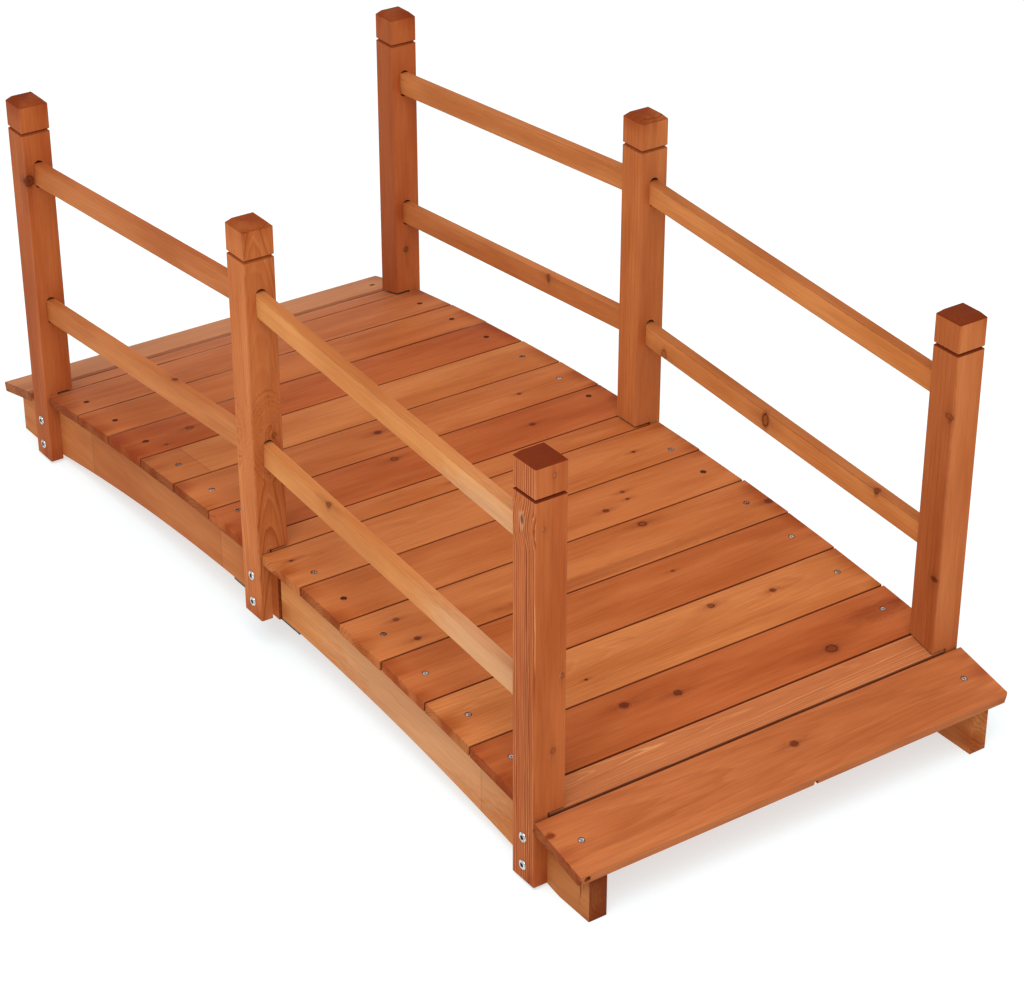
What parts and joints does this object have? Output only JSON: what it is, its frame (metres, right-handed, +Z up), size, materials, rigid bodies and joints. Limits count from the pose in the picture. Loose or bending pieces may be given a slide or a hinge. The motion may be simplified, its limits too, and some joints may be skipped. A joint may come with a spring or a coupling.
{
  "type": "arched garden bridge with railings",
  "caption": "Low arched wooden garden bridge with a plank deck on two arched side beams, post-and-rail railings on both sides and sloped end treads.",
  "frame": {"origin": "middle of the bridge's footprint, on the ground that the beams' feet stand on", "axes": "+X along the walk to the front end, +Y across to the right-hand railing as seen by someone who walks on from the front end, +Z up"},
  "size_m": [1.5254, 0.68, 0.632],
  "materials": {
    "deck_wood": "orange-brown stain",
    "post_wood": "red-brown stain",
    "beam_wood": "orange-brown stain",
    "rail_wood": "light orange stain",
    "joint_steel": "black coated steel",
    "fastener_steel": "bright zinc"
  },
  "bodies": {
    "root": {"back_left_beam": "beam_wood", "back_left_lower_rail": "rail_wood", "back_left_post": "post_wood", "back_left_upper_rail": "rail_wood", "back_plank_1": "deck_wood", "back_plank_2": "deck_wood", "back_plank_3": "deck_wood", "back_plank_4": "deck_wood", "back_plank_5": "deck_wood", "back_plank_6": "deck_wood", "back_post_board": "deck_wood", "back_right_beam": "beam_wood", "back_right_lower_rail": "rail_wood", "back_right_post": "post_wood", "back_right_upper_rail": "rail_wood", "back_tread": "deck_wood", "front_left_beam": "beam_wood", "front_left_lower_rail": "rail_wood", "front_left_post": "post_wood", "front_left_upper_rail": "rail_wood", "front_plank_1": "deck_wood", "front_plank_2": "deck_wood", "front_plank_3": "deck_wood", "front_plank_4": "deck_wood", "front_plank_5": "deck_wood", "front_plank_6": "deck_wood", "front_post_board": "deck_wood", "front_right_beam": "beam_wood", "front_right_lower_rail": "rail_wood", "front_right_post": "post_wood", "front_right_upper_rail": "rail_wood", "front_tread": "deck_wood", "left_joint_plate": "joint_steel", "middle_left_block": "beam_wood", "middle_left_post": "post_wood", "middle_post_board": "deck_wood", "middle_right_block": "beam_wood", "middle_right_post": "post_wood", "right_joint_plate": "joint_steel"}
  },
  "joints": []
}
